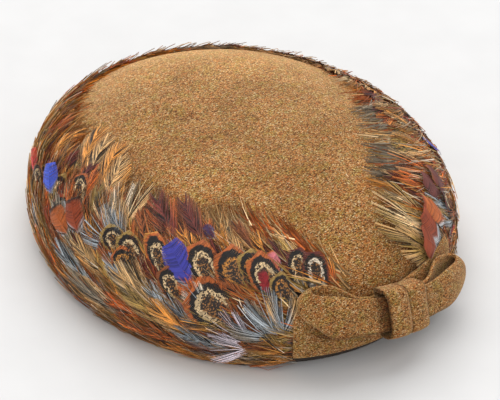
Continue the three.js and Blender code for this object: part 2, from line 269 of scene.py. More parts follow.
FANS = [
    (-29.2, 26, -54, 33, 22, 8.6, "slate grey"),
    (-28.7, 27, -28, 33, 20, 9.0, "slate slate"),
    (-28.2, 28, -2, 28, 18, 8.6, "slate tan"),
    (-34, 22, -84, 28, 20, 8.0, "lavender lavender"),
    (-34, 23, -56, 32, 20, 8.4, "lavender lavender"),
    (-73.5, 56, -72, 30, 24, 7.0, "slate slate"),
    (-74.2, 62, -48, 26, 16, 7.0, "slate tan"),
    (-44.7, 38, -44, 24, 13, 9.0, "slate white"),
    (-77.2, 66, -34, 34, 14, 4.5, "tan white"),
    (-76.2, 66, -14, 38, 15, 4.5, "cream tan"),
    (-78.2, 60, -50, 32, 14, 4.5, "grey cream"),
    (-26.5, 17, -60, 24, 18, 5.5, "gold olive"),
    (-25, 12, -84, 28, 16, 3.0, "gold rust"),
    (-24, 22, -88, 26, 16, 3.0, "olive brown"),
    (-23.5, 30, -84, 25, 16, 3.2, "olive olive"),
    (-23, 38, -76, 24, 16, 3.2, "olive brown"),
    (-22.5, 46, -60, 24, 16, 3.2, "olive gold"),
    (-20, 52, -40, 22, 15, 3.2, "olive rust"),
    (-16, 55, -30, 18, 14, 3.2, "gold rust"),
    (-12, 56, -24, 15, 12, 3.0, "rust gold"),
    (23, 43, -64, 22, 14, 3.5, "olive tan"),
    (25, 43, -54, 36, 20, 4.0, "olive tan"),
    (26, 44, -42, 50, 22, 4.6, "tan olive"),
    (27, 45, -26, 51, 22, 5.0, "cream olive"),
    (28, 45, -8, 46, 18, 4.4, "tan olive"),
    (33, 49, -40, 47, 18, 4.4, "olive cream"),
    (61, 45, -19, 48, 24, 4.5, "gold tan"),
    (67, 49, 0, 42, 22, 4.5, "tan gold"),
    (51, 50, -26, 48, 24, 4.5, "rust tan"),
    (76, 53, -10, 38, 22, 4.0, "tan cream"),
    (-40.7, 32, -66, 30, 20, 6.0, "olive gold"),
]
BIG_HACKLES = [
    (-56, 70, -48, 46, 24, 5.0, "maroon rust"),
    (-49, 76, -44, 40, 18, 4.5, "maroon brown"),
    (42, 48, -25, 50, 13, 5.5, "rust gold"),
    (46, 50, -30, 46, 11, 5.0, "rust rust"),
    (-54, 32, -70, 54, 18, 5.6, "tan grey"),
    (-44, 21, -66, 50, 18, 5.0, "gold tan"),
    (-71, 37, -71, 46, 16, 5.4, "tan gold"),
    (-94, 79, -34, 40, 20, 3.4, "gold tan"),
    (-99, 76, -44, 42, 18, 3.2, "tan gold"),
    (-105, 76, -50, 42, 18, 3.0, "gold tan"),
    (-88, 76, -30, 36, 20, 3.6, "tan gold"),
    (-62, 20, -82, 68, 16, 5.5, "grey tan"),
    (-70, 28, -80, 64, 16, 5.5, "slate grey"),
    (-46, 16, -87, 64, 16, 4.0, "rust gold"),
    (-51, 25, -70, 50, 18, 5.0, "olive tan"),
    (-58, 33, -66, 50, 18, 5.5, "slate olive"),
    (-84, 40, -68, 48, 16, 5.5, "grey slate"),
]


def side_profile(rim_tuck):
    """Length, reach and height along the hat's side view, with their slopes."""
    t = np.linspace(0, 1, PROFILE_STEPS + 1)
    rim = np.clip(t / RIM_PART, 0, 1) * QUARTER
    dome = np.clip((t - RIM_PART) / (1 - RIM_PART), 0, 1) * QUARTER
    dome_height = CROWN_HEIGHT - WIDEST_HEIGHT
    rim_reach = MEAN_RADIUS - rim_tuck * (1 - np.sin(rim))
    rim_height = WIDEST_HEIGHT * (1 - np.cos(rim))
    dome_reach = MEAN_RADIUS * np.abs(np.cos(dome)) ** (2 / SHOULDER_POWER)
    dome_rise = WIDEST_HEIGHT + dome_height * np.sin(dome) ** (2 / DOME_POWER)
    reach = np.where(t < RIM_PART, rim_reach, dome_reach)
    height = np.where(t < RIM_PART, rim_height, dome_rise)
    steps = np.hypot(np.diff(reach), np.diff(height))
    length = np.concatenate([[0], np.cumsum(steps)])
    even = np.linspace(0, length[-1], PROFILE_STEPS + 1)
    reach = np.interp(even, length, reach)
    height = np.interp(even, length, height)
    slopes = np.gradient(reach, even), np.gradient(height, even)
    return {"up": even, "reach": reach, "height": height, "outwards": slopes[0], "upwards": slopes[1]}


CROWN_SIDE = side_profile(RIM_TUCK)
BAND_SIDE = side_profile(BAND_TUCK)
CROWN_SIDE_LENGTH = CROWN_SIDE["up"][-1]
BAND_SIDE_LENGTH = BAND_SIDE["up"][-1]
CENTRE = [(low + high) / 2 / MM for low, high in zip(*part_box("crown"))]


def point_on(side, turn, up, out):
    """Points of the hat: turn in radians from the bow, up its side and outwards in mm."""
    turn, up, out = np.broadcast_arrays(turn, up, out)
    value = {key: np.interp(up, side["up"], side[key]) for key in side if key != "up"}
    reach = value["reach"] / MEAN_RADIUS
    place = np.stack(
        [
            HALF_WIDTH * reach * np.sin(turn) + CENTRE[0],
            -HALF_LENGTH * reach * np.cos(turn) + CENTRE[1],
            value["height"],
        ],
        axis=-1,
    )
    normal = np.stack(
        [
            HALF_LENGTH * np.sin(turn) * value["upwards"],
            -HALF_WIDTH * np.cos(turn) * value["upwards"],
            -HALF_WIDTH * HALF_LENGTH * value["outwards"] / MEAN_RADIUS,
        ],
        axis=-1,
    )
    normal /= np.linalg.norm(normal, axis=-1, keepdims=True)
    return place + normal * out[..., None]


def band_top(turn):
    """Height of the feathers' upper edge, up the side in mm."""
    degrees = (np.degrees(turn) + 180) % 360 - 180
    table = np.array(BAND_TOP)
    return np.interp(degrees, table[:, 0], table[:, 1]) * BAND_SIDE_LENGTH


def smooth_step(low, high, value):
    part = np.clip((value - low) / (high - low), 0, 1)
    return part * part * (3 - 2 * part)


def linear(colour):
    """A colour in sRGB, 0 to 255, as linear light with its alpha."""
    share = np.array(colour) / 255
    light = np.where(share < 0.04045, share / 12.92, ((share + 0.055) / 1.055) ** 2.4)
    return (*light.tolist(), 1.0)


# Meshes


def make_mesh(name, points, faces):
    """A smooth mesh from points in mm and an array of corner numbers, one row a face."""
    mesh = bpy.data.meshes.new(name)
    count, corners = faces.shape
    mesh.vertices.add(len(points))
    mesh.vertices.foreach_set("co", (points * MM).astype(np.float32).ravel())
    mesh.loops.add(count * corners)
    mesh.loops.foreach_set("vertex_index", faces.astype(np.int32).ravel())
    mesh.polygons.add(count)
    mesh.polygons.foreach_set("loop_start", np.arange(0, count * corners, corners, dtype=np.int32))
    mesh.polygons.foreach_set("use_smooth", np.ones(count, dtype=bool))
    mesh.update(calc_edges=True)
    mesh.validate()
    return mesh


def add_object(name, data):
    thing = bpy.data.objects.new(name, data)
    bpy.context.collection.objects.link(thing)
    return thing


def add_piece(name, mesh, material):
    piece = add_object(name, mesh)
    mesh.materials.append(material)
    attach(piece, "root")
    return piece


def set_point_values(mesh, name, values):
    kind = "FLOAT" if values.ndim == 1 else "FLOAT_COLOR"
    field = "value" if values.ndim == 1 else "color"
    attribute = mesh.attributes.new(name, kind, "POINT")
    attribute.data.foreach_set(field, values.astype(np.float32).ravel())


def set_uv(mesh, name, places):
    """A UV map from one place for each point."""
    corners = np.empty(len(mesh.loops), dtype=np.int32)
    mesh.loops.foreach_get("vertex_index", corners)
    layer = mesh.uv_layers.new(name=name)
    layer.data.foreach_set("uv", places[corners].astype(np.float32).ravel())


def grid_faces(rows, columns, closed_rows=False, closed_columns=False):
    """Corner numbers of the squares of a grid whose points run row by row."""
    row = np.arange(rows if closed_rows else rows - 1)[:, None]
    column = np.arange(columns if closed_columns else columns - 1)[None, :]
    next_row = (row + 1) % rows
    next_column = (column + 1) % columns
    corners = [
        row * columns + column,
        row * columns + next_column,
        next_row * columns + next_column,
        next_row * columns + column,
    ]
    return np.stack([c + 0 * row for c in corners], axis=-1).reshape(-1, 4)


def strip_faces(count, steps, first=0):
    """Corner numbers of the squares of separate strips, each a row of point pairs."""
    strips = np.arange(count * (steps + 1) * 2).reshape(count, -1) + first
    corner = np.array([[2 * k, 2 * k + 1, 2 * k + 3, 2 * k + 2] for k in range(steps)])
    return strips[:, corner].reshape(-1, 4)


def full_circle(count):
    return np.linspace(0, FULL_TURN, count, endpoint=False)


def as_rows(shape, *values):
    """One row for each point of a grid, from values spread over that grid."""
    return np.stack([np.broadcast_to(value, shape) for value in values], axis=-1).reshape(-1, len(values))


def tile_places(shape, along, up):
    """Places in a UV map that has one square tile for each feather."""
    columns = math.ceil(math.sqrt(shape[0]))
    tile = np.arange(shape[0]).reshape(-1, *[1] * (len(shape) - 1))
    return as_rows(shape, (tile % columns + along) / columns, (tile // columns + up) / columns)


def shape_with(piece, *modifiers):
    """Applies modifiers, given as their kind and settings, to the piece's mesh."""
    for kind, settings in modifiers:
        modifier = piece.modifiers.new(kind.lower(), kind)
        for key, value in settings.items():
            setattr(modifier, key, value)
    graph = bpy.context.evaluated_depsgraph_get()
    shaped = bpy.data.meshes.new_from_object(piece.evaluated_get(graph))
    piece.modifiers.clear()
    piece.data = shaped
    for polygon in shaped.polygons:
        polygon.use_smooth = True


# Materials


class Tree:
    """A material's nodes, with short ways to add them."""

    def __init__(self, name):
        self.material = bpy.data.materials.new(name)
        self.material.use_nodes = True
        self.nodes = self.material.node_tree.nodes
        self.links = self.material.node_tree.links
        self.shader = self.nodes["Principled BSDF"]

    def put(self, socket, value):
        if isinstance(value, bpy.types.NodeSocket):
            self.links.new(value, socket)
        else:
            socket.default_value = value

    def add(self, kind, *values, output=0, settings=None, **inputs):
        """One output of a new node whose inputs are given by their order or by name."""
        node = self.nodes.new(kind)
        for key, value in (settings or {}).items():
            setattr(node, key, value)
        for socket, value in zip(node.inputs, values):
            self.put(socket, value)
        for key, value in inputs.items():
            self.put(node.inputs[key.replace("_", " ")], value)
        return node.outputs[output]

    def place(self):
        return self.add("ShaderNodeTexCoord", output="Object")

    def vector_math(self, operation, *values, output=0):
        return self.add("ShaderNodeVectorMath", *values, output=output, settings={"operation": operation})

    def in_mm(self, place):
        return self.add("ShaderNodeVectorMath", place, settings={"operation": "SCALE"}, Scale=1 / MM)

    def noise(self, place, scale, detail, output=0):
        return self.add("ShaderNodeTexNoise", output=output, Vector=place, Scale=scale, Detail=detail)

    def math(self, operation, *values):
        return self.add("ShaderNodeMath", *values, settings={"operation": operation})

    def mix(self, factor, low, high, blend="MIX"):
        kind = {"data_type": "RGBA", "blend_type": blend}
        return self.add("ShaderNodeMix", output="Result", settings=kind, Factor=factor, A=low, B=high)

    def times(self, first, second):
        return self.mix(1.0, first, second, "MULTIPLY")

    def ramp(self, factor, stops):
        node = self.nodes.new("ShaderNodeValToRGB")
        elements = node.color_ramp.elements
        while len(elements) < len(stops):
            elements.new(1.0)
        for element, (position, colour) in zip(elements, stops):
            element.position = position
            element.color = colour
        self.put(node.inputs["Fac"], factor)
        return node.outputs["Color"]

    def step(self, value, edge, softness):
        """0 below the edge and 1 above it, across a soft width."""
        smooth = {"interpolation_type": "SMOOTHSTEP"}
        ends = {"From_Min": edge - softness, "From_Max": edge + softness}
        return self.add("ShaderNodeMapRange", output="Result", settings=smooth, Value=value, **ends)

    def attribute(self, name, output="Color"):
        return self.add("ShaderNodeAttribute", output=output, settings={"attribute_name": name})

    def shade(self, **inputs):
        for key, value in inputs.items():
            self.put(self.shader.inputs[key.replace("_", " ")], value)
        return self.material


# Tweed flecks: where each colour begins among the yarns, in sRGB
CROWN_FLECKS = [
    (0.0, (74, 44, 24)),
    (0.15, (146, 94, 48)),
    (0.3, (206, 150, 80)),
    (0.5, (232, 182, 112)),
    (0.66, (164, 154, 106)),
    (0.75, (228, 134, 70)),
    (0.85, (240, 198, 132)),
    (0.95, (252, 232, 190)),
]
BOW_FLECKS = [
    (0.0, (78, 46, 26)),
    (0.15, (154, 102, 56)),
    (0.3, (210, 156, 90)),
    (0.5, (234, 186, 118)),
    (0.66, (166, 158, 112)),
    (0.75, (230, 140, 78)),
    (0.85, (240, 200, 138)),
    (0.95, (250, 230, 188)),
]
WHITE = (1.0, 1.0, 1.0, 1.0)
YARN = 0.5  # mm across one yarn
YARN_STRETCH = 2.6  # how much longer a fleck is than wide
WARP_STRETCH = 0.7 * YARN_STRETCH
YARN_STRAY = (1.6, 1.6, 0)  # how far yarns wander, in mm
WEFT_TURN = 38  # degrees
WARP_TURN = -46
BOW_WEAVE_TILT = -70
CROWN_NAP = 1.0
BOW_NAP = 0.5
NAP_TINT = (238, 206, 162)
DYE_TONES = [(0.3, (222, 214, 206)), (0.7, (255, 255, 255))]
DYE_HUES = [(0.34, (240, 244, 212)), (0.5, (255, 250, 246)), (0.66, (255, 236, 218))]
# painted shade that darkens the cloth between the yarns
YARN_GAP_SHADE = (140, 122, 104)
PAINTED_SHADE_TINT = (156, 142, 128)  # what the cloth's colour is multiplied by where shade is painted in: under the loops, beside the knot, along the loops' lower edges and in the knot's groove
PAINTED_LIGHT_TOWARDS = (0.58, 0.81, 0)  # painted light makes the crown palest on this side
PAINTED_LIGHT_MIDDLE = 84  # mm
PAINTED_LIGHT_WIDTH = 55
PAINTED_LIGHT_TINT = (192, 190, 195)


def in_light(stops):
    """The stops of a ramp with their colours as linear light."""
    return [(position, linear(colour)) for position, colour in stops]


def yarn_layer(tree, place, turn, stretch):
    """Random values, one for each short stretch of yarn laid at an angle."""
    turned = tree.add(
        "ShaderNodeMapping",
        Vector=place,
        Rotation=(0, 0, math.radians(turn)),
        Scale=(1 / (YARN * stretch), 1 / YARN, 1 / YARN),
    )
    cells = tree.add("ShaderNodeTexVoronoi", Vector=turned, Scale=1).node
    return cells.outputs["Color"], cells.outputs["Distance"]


def woven_yarns(tree, in_mm, flecks):
    """Colour of two crossing layers of yarns, and how near each place is to a yarn's edge."""
    stray = tree.noise(in_mm, 0.35, 2.0, "Color")
    place = tree.vector_math("MULTIPLY_ADD", stray, YARN_STRAY, in_mm)
    weft, weft_edge = yarn_layer(tree, place, WEFT_TURN, YARN_STRETCH)
    warp, warp_edge = yarn_layer(tree, place, WARP_TURN, WARP_STRETCH)
    weft_colour = tree.ramp(tree.add("ShaderNodeSeparateColor", Color=weft), in_light(flecks))
    warp_colour = tree.ramp(tree.add("ShaderNodeSeparateColor", output=1, Color=warp), in_light(flecks))
    over = tree.step(tree.noise(in_mm, 0.8, 1.0), 0.5, 0.08)
    edge = tree.math("MULTIPLY", tree.math("ADD", weft_edge, warp_edge), 0.5)
    return tree.mix(over, weft_colour, warp_colour), edge


def dye_and_painted_light(tree, in_mm):
    """Unevenness of the dye, and painted light that makes the back of the crown paler."""
    tone = tree.ramp(tree.noise(in_mm, 0.035, 3.0), in_light(DYE_TONES))
    toned = tree.times(tone, tree.ramp(tree.noise(in_mm, 0.16, 2.0), in_light(DYE_HUES)))
    # Painted light: the cloth is brightened towards the back of the crown, where the light falls
    back = tree.vector_math("DOT_PRODUCT", in_mm, PAINTED_LIGHT_TOWARDS, output=1)
    painted_light = tree.step(back, PAINTED_LIGHT_MIDDLE, PAINTED_LIGHT_WIDTH)
    return tree.mix(painted_light, toned, tree.mix(1.0, toned, linear(PAINTED_LIGHT_TINT), "DIVIDE"))


def tweed_material(name, flecks, tilt, nap):
    """Twill wool: two crossing layers of short coloured yarns with a soft nap, with painted shade between
    the yarns and in the bow's folds, and painted light that makes one side paler.
    """
    tree = Tree(name)
    turned = tree.add("ShaderNodeMapping", Vector=tree.place(), Rotation=(math.radians(tilt), 0, 0))
    in_mm = tree.in_mm(turned)
    woven, edge = woven_yarns(tree, in_mm, flecks)
    # Painted shade between the yarns
    shadow = tree.ramp(edge, [(0.25, WHITE), (0.7, linear(YARN_GAP_SHADE))])
    colour = tree.times(tree.times(woven, dye_and_painted_light(tree, in_mm)), shadow)
    # Painted shade on the bow: darker under the loops, beside the knot, along the loops' lower edges and in
    # the knot's groove
    painted_shade_colour = tree.times(colour, linear(PAINTED_SHADE_TINT))
    colour = tree.mix(tree.attribute("painted_shade", "Fac"), colour, painted_shade_colour)
    height = tree.math("SUBTRACT", tree.noise(in_mm, 2.4, 3.0), edge)
    bump = tree.add("ShaderNodeBump", Height=height, Distance=0.35 * MM, Strength=0.7)
    return tree.shade(
        Base_Color=colour, Roughness=0.95, Normal=bump, Sheen_Weight=nap, Sheen_Roughness=0.35,
        Sheen_Tint=linear(NAP_TINT), Specular_IOR_Level=0.2,
    )


# How light single barbs are, from the darkest to the palest: a random tone, and for loose barbs also
# painted shade in the darkest, standing for the gaps between them, and painted highlights in the palest
LOOSE_BARBS = [(0.0, 0.01), (0.4, 0.08), (0.6, 0.7), (0.84, 1.35), (1.0, 2.6)]
CLOSE_BARBS = [(0.0, 0.55), (0.5, 1.0), (1.0, 1.3)]


def feather_place(tree):
    """Along the feather, and across it from -1 to 1."""
    flat = tree.add("ShaderNodeUVMap", settings={"uv_map": "feather"})
    parts = tree.add("ShaderNodeSeparateXYZ", flat).node
    return parts.outputs["X"], parts.outputs["Y"]


def finish_feather(tree, colour, stops):
    """Uneven barbs and a soft silky sheen over a feather's own colour."""
    light = [(position, (share, share, share, 1)) for position, share in stops]
    # The barbs' light from the stops holds painted shade and painted highlights as well as their random
    # tone
    uneven = tree.times(colour, tree.ramp(tree.attribute("barb", "Fac"), light))
    return tree.shade(
        Base_Color=uneven, Roughness=0.55, Sheen_Weight=0.1, Sheen_Roughness=0.4, Specular_IOR_Level=0.4,
    )


def hackle_material():
    """Long loose feathers: one tint by the shaft, another towards the edge, brown at the root."""
    tree = Tree("feather_hackle")
    along, across = feather_place(tree)
    rim = tree.step(tree.math("ABSOLUTE", across), 0.55, 0.35)
    colour = tree.mix(rim, tree.attribute("tint"), tree.attribute("edge"))
    root = tree.step(along, 0.22, 0.16)
    return finish_feather(tree, tree.mix(root, linear((120, 78, 44)), colour), LOOSE_BARBS)


def eye_ring(tree, in_mm, along, across, barb):
    """Distance from the middle of a feather's eye, open towards the root and ragged."""
    beyond = tree.math("MAXIMUM", tree.math("DIVIDE", tree.math("SUBTRACT", along, 0.6), 0.34), 0.0)
    squares = tree.math("ADD", tree.math("POWER", beyond, 2.0), tree.math("POWER", across, 2.0))
    wobble = tree.math("MULTIPLY", tree.noise(in_mm, 0.35, 1.0), 0.3)
    ragged = tree.math("ADD", wobble, tree.math("MULTIPLY", barb, 0.04))
    return tree.math("ADD", tree.math("SQRT", squares), ragged)


def eyed_material():
    """Game-bird feathers: a speckled cream horseshoe inside a black one, on a copper ground."""
    tree = Tree("feather_eyed")
    along, across = feather_place(tree)
    in_mm = tree.in_mm(tree.place())
    barb = tree.attribute("barb", "Fac")
    ring = eye_ring(tree, in_mm, along, across, barb)
    barb_streak = tree.math("MULTIPLY", tree.math("SUBTRACT", barb, 0.5), 0.3)
    streak = tree.math("ADD", tree.noise(in_mm, 0.9, 1.0), barb_streak)
    speckled = tree.mix(tree.step(streak, 0.58, 0.03), tree.attribute("tint"), linear((52, 38, 28)))
    middle = tree.mix(tree.step(streak, 0.44, 0.04), linear((170, 116, 62)), linear((40, 30, 24)))
    colour = tree.mix(tree.step(ring, 0.52, 0.04), middle, speckled)
    colour = tree.mix(tree.step(ring, 0.76, 0.03), colour, linear((24, 17, 14)))
    colour = tree.mix(tree.step(ring, 1.04, 0.04), colour, tree.attribute("edge"))
    root = tree.step(along, 0.25, 0.1)
    return finish_feather(tree, tree.mix(root, linear((120, 112, 104)), colour), CLOSE_BARBS)


def tipped_material():
    """Bright feathers: a strong tint over the outer half, pale grey and dark barbs below it."""
    tree = Tree("feather_tipped")
    along, across = feather_place(tree)
    barb = tree.attribute("barb", "Fac")
    fluff = tree.mix(tree.step(barb, 0.5, 0.1), linear((60, 54, 52)), linear((178, 178, 180)))
    bent = tree.math("SUBTRACT", along, tree.math("MULTIPLY", tree.math("ABSOLUTE", across), 0.25))
    colour = tree.mix(tree.step(bent, 0.3, 0.06), fluff, tree.attribute("tint"))
    tip = tree.step(along, 0.88, 0.04)
    return finish_feather(tree, tree.mix(tip, colour, tree.attribute("edge")), CLOSE_BARBS)


def backing_material():
    """Felt under the feathers, made dark as painted shade for the depths between them."""
    tree = Tree("feather_backing")
    grain = tree.noise(tree.place(), 900.0, 4.0)
    colour = tree.ramp(grain, in_light([(0.3, (30, 22, 18)), (0.7, (64, 48, 36))]))
    bump = tree.add("ShaderNodeBump", Height=grain, Distance=0.3 * MM, Strength=0.6)
    return tree.shade(Base_Color=colour, Roughness=0.95, Normal=bump)


# Crown

CROWN_TOP = 0.995  # share of the side's length where the rows of points end
TOP_CROWDING = 1.1
RIPPLE_FADE = 40  # mm from the rim and from the top
BROAD_RIPPLE = 31  # mm up the side to one radian
FINE_RIPPLE = 23
LIP_SECTION = [(1, 2), (0.3, 1.7), (0, 1), (0.3, 0.3), (1, 0)]  # outwards and up, in half walls


def crown_ring(up, out, turns):
    ripple = CROWN_RIPPLE * np.sin(3 * turns + 1.3) * np.sin(up / BROAD_RIPPLE + 0.5)
    ripple += 0.5 * CROWN_RIPPLE * np.sin(7 * turns + 0.4 + up / FINE_RIPPLE)
    settle = smooth_step(0, RIPPLE_FADE, up)
    settle *= smooth_step(CROWN_SIDE_LENGTH, CROWN_SIDE_LENGTH - RIPPLE_FADE, up)
    return point_on(CROWN_SIDE, turns, up, out + ripple * settle)


def oval_ring(turns, grow, height):
    x = (HEAD_WIDTH / 2 + grow) * np.sin(turns) + CENTRE[0]
    y = -(HEAD_LENGTH / 2 + grow) * np.cos(turns) + CENTRE[1]
    return np.stack([x, y, np.full_like(turns, height)], axis=-1)


def make_crown(material):
    """One cloth wall, rolled in under the rim to the oval edge where the head goes in."""
    turns = full_circle(CROWN_AROUND)
    ups = CROWN_SIDE_LENGTH * np.linspace(0, CROWN_TOP, CROWN_ROWS) ** TOP_CROWDING
    half = CLOTH_WALL / 2
    outer = [crown_ring(up, 0, turns) for up in ups]
    inner = [crown_ring(up, -CLOTH_WALL, turns) for up in ups]
    lip = [oval_ring(turns, half * grow, half * height) for grow, height in LIP_SECTION]
    rings = [*inner[::-1], *lip, *outer]
    points = np.concatenate(rings)
    walls = grid_faces(len(rings), CROWN_AROUND, closed_columns=True)
    mesh = bpy.data.meshes.new("crown_tweed")
    first = list(range(CROWN_AROUND))[::-1]
    last = list(range(len(points) - CROWN_AROUND, len(points)))
    mesh.from_pydata((points * MM).tolist(), [], [*walls.tolist(), first, last])
    mesh.polygons.foreach_set("use_smooth", np.ones(len(mesh.polygons), dtype=bool))
    mesh.update()
    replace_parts(add_piece("crown_tweed", mesh, material), "crown")


# Bow

# Points on the grids of the cloths
BASE_ACROSS = 41
BASE_ROWS = 17
LOOP_AROUND = 56
LOOP_ACROSS = 17
KNOT_AROUND = 48
KNOT_ACROSS = 41

BASE_WAVE = 0.5  # mm that the base's upper edge waves
LOOP_SHADE = ((-5, 1), (14, 8))  # mm from a loop's lower edge where the cloth under it darkens and clears
ROOT_CREASE = 0.5  # mm that the gathered roots of the loops crease
KNOT_SHADE = 6  # mm beside the knot where a loop darkens
EDGE_SHADE = 0.8  # depth of shade along the lower edge of a loop's front


def side_point(right, up, out):
    return point_on(BAND_SIDE, right / HALF_WIDTH, up, out)


def bow_line(right):
    """Height of the bow's tilted middle line, up the side in mm."""
    return BOW_HEIGHT - right * math.tan(math.radians(BOW_TILT))


def bow_point(right, up, out):
    """A place on the bow: along its middle line, straight up the ribbon from that line, and outwards."""
    right, up, out = np.broadcast_arrays(right, up, out)
    line = bow_line(right)
    above = side_point(BOW_OFFSET + right, line + 1, out)
    below = side_point(BOW_OFFSET + right, line - 1, out)
    ribbon = above - below
    ribbon /= np.linalg.norm(ribbon, axis=-1, keepdims=True)
    return side_point(BOW_OFFSET + right, line, out) + ribbon * up[..., None]


def make_cloth(name, points, painted_shade, material, closed_rows=False):
    """A strip of thick cloth from a grid of points on its middle, and how much painted shade each point
    gets.
    """
    rows, columns = points.shape[:2]
    faces = grid_faces(rows, columns, closed_rows=closed_rows)
    mesh = make_mesh(name, points.reshape(-1, 3), faces)
    set_point_values(mesh, "painted_shade", np.broadcast_to(painted_shade, (rows, columns)).ravel())
    piece = add_piece(name, mesh, material)
    thick = {"thickness": BOW_CLOTH * MM, "offset": 0.0}
    shape_with(piece, ("SOLIDIFY", thick), ("SUBSURF", {"levels": 2, "render_levels": 2}))
    return piece


def make_wrapped_cloth(name, points, painted_shade, material):
    piece = make_cloth(name, points, painted_shade, material, closed_rows=True)
    return piece


def make_bow_base(material):
    across = np.linspace(-0.5, 0.5, BASE_ACROSS)[None, :]
    part = np.linspace(0, 1, BASE_ROWS)[:, None]
    right = BASE_WIDTH * across + 0 * part
    up = BASE_HEM + BASE_RISE * part + 0 * across
    wave = BASE_WAVE * np.sin(right / 9 + 3 * part) * part
    points = side_point(BOW_OFFSET + right, up, BASE_OUT + wave)
    loop_edge = bow_line(right) - (LOOP_RIBBON + LOOP_SLANT) / 2
    # Painted shadow of the loops on the base, just below their lower edges
    painted_loop_shadow = smooth_step(LOOP_REACH, LOOP_FULL, np.abs(right))
    for low, high in LOOP_SHADE:
        painted_loop_shadow = painted_loop_shadow * smooth_step(loop_edge + low, loop_edge + high, up)
    piece = make_cloth("bow_base_cloth", points, painted_loop_shadow, material)
    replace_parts(piece, "bow_base")


def make_bow_loop(end, name, material):
    """A strip turned back to the knot, so that its two layers stand apart and open upwards."""
    angle = full_circle(LOOP_AROUND)[:, None]
    part = np.linspace(0, 1, LOOP_ACROSS)[None, :]
    half_reach = (LOOP_REACH - PIECE_CLEARANCE - BOW_CLOTH) / 2
    reach = PIECE_CLEARANCE + BOW_CLOTH / 2 + half_reach * (1 + np.sin(angle)) + 0 * part
    fullness = smooth_step(ROOT_REACH, LOOP_FULL, reach)
    ending = smooth_step(LOOP_FULL, LOOP_REACH, reach)
    rounding = ((part - LOOP_NOSE) / (1 - LOOP_NOSE)) ** 2
    right = end["side"] * (reach - LOOP_CORNER * ending * rounding)
    thickness = ROOT_THICKNESS + (LOOP_THICKNESS - ROOT_THICKNESS) * fullness
    gather = LOOP_GATHER + (1 - LOOP_GATHER) * fullness
    ribbon = LOOP_RIBBON * (gather + (end["taper"] - gather) * ending)
    layer = np.sign(np.cos(angle)) * np.sqrt(np.abs(np.cos(angle)))
    middle = end["raise"] * ending - KNOT_DROP * (1 - fullness) - LOOP_SLANT / 2 * layer * fullness
    up = ribbon * (part - 0.5) + middle
    crease = ROOT_CREASE * np.sin(part * 9 + 1) * (1 - fullness) * np.sign(layer)
    roll = LOOP_ROLL * np.abs(2 * part - 1) ** 3 * fullness * np.clip(layer, 0, 1)
    out = LOOP_MIDDLE + (thickness / 2 - BOW_CLOTH / 2) * layer + crease - roll
    points = bow_point(right, up, out)
    # Painted shade on the loops beside the knot and along the lower edge of their fronts
    painted_knot_shade = smooth_step(KNOT_WIDTH / 2 + KNOT_SHADE, KNOT_WIDTH / 2, reach)
    painted_shade = np.maximum(painted_knot_shade, EDGE_SHADE * smooth_step(0.16, 0, part) * np.clip(layer, 0, 1))
    return make_wrapped_cloth(name, points, painted_shade, material)


def squared_off(value):
    """A sine or cosine pushed outwards, so that a round section gets square corners."""
    return np.sign(value) * np.abs(value) ** KNOT_ROUNDNESS


def make_bow_knot(material):
    """A pleated band wrapped once round the roots of both loops."""
    angle = full_circle(KNOT_AROUND)[:, None]
    table = np.array(KNOT_PLEATS)
    place = np.linspace(-1, 1, KNOT_ACROSS)[None, :]
    front = np.clip(np.sin(angle), 0, None)
    rise = np.interp(place, table[:, 0], table[:, 1]) * PLEAT_RISE * front
    up = (KNOT_RISE / 2 + BOW_CLOTH / 2) * squared_off(np.cos(angle)) - KNOT_DROP + 0 * place
    out = LOOP_MIDDLE + (KNOT_DEPTH / 2 + BOW_CLOTH / 2) * squared_off(np.sin(angle)) + rise
    waist = KNOT_WAIST + (1 - KNOT_WAIST) * np.abs(np.cos(angle))
    right = KNOT_WIDTH / 2 * place * waist + KNOT_SWEEP * front
    # Painted shade in the knot's middle groove and at its sides
    painted_shade = np.maximum(smooth_step(0.12, 0, np.abs(place)), smooth_step(0.86, 1, np.abs(place)))
    points = bow_point(right, up, out)
    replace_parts(make_wrapped_cloth("bow_knot_cloth", points, painted_shade, material), "bow_knot")


def make_bow(tweed):
    make_bow_base(tweed)
    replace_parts(make_bow_loop(LOOP_ENDS["left"], "bow_loop_left_cloth", tweed), "bow_loop_left")
    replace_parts(make_bow_loop(LOOP_ENDS["right"], "bow_loop_right_cloth", tweed), "bow_loop_right")
    make_bow_knot(tweed)


# Feathers

# Kinds of feathers: barbs on each side, rise and fall of the outline, how far up the shaft the barbs spring
# from, how steeply the lowest and the highest lie along it, their curve, unevenness, thickness and twist
HACKLE = {
    "barbs": 84, "rise": 0.55, "fall": 0.7, "span": 0.72, "forward": (0.5, 0.75), "curl": 1.12,
    "loose": 0.05, "thick": 0.75, "twist": 0.5,
}
VANE = {
    "barbs": 76, "rise": 0.6, "fall": 0.42, "span": 0.88, "forward": (0.25, 0.3), "curl": 1.35,
    "loose": 0.006, "thick": 1.5, "twist": 0.1,
}
FAN = {
    "barbs": 60, "rise": 1.0, "fall": 0.35, "span": 0.3, "forward": (0.5, 0.97), "curl": 1.0,
    "loose": 0.035, "thick": 0.7, "twist": 0.5,
}
BARB_STEPS = 3
SHAFT_STEPS = 8
WISP_STEPS = 4
ROOT_OUT = 1.7  # mm from the band's own surface to a feather's root
LIFT_POWER = 1.3  # a feather lifts more and more towards its tip
FIRST_BARB = 0.04  # share of the length below the lowest barb
CLUMP_BARBS = 4  # neighbouring barbs that stray together
STRAND_BARBS = 2  # neighbouring barbs that are equally light
STRAND_SHARE = 0.7  # share of the barbs that are as light as their strand
BARB_STRAY = 0.4  # share of the barbs' spacing
BARB_HALF = 0.5  # half a barb's width at its root, for a length of 1 mm to each barb
BARB_TAPER = 0.34
BARB_TILE = 0.94  # share of a feather's UV tile for its barbs, with the shaft above
CLUMP_RISE = 0.15
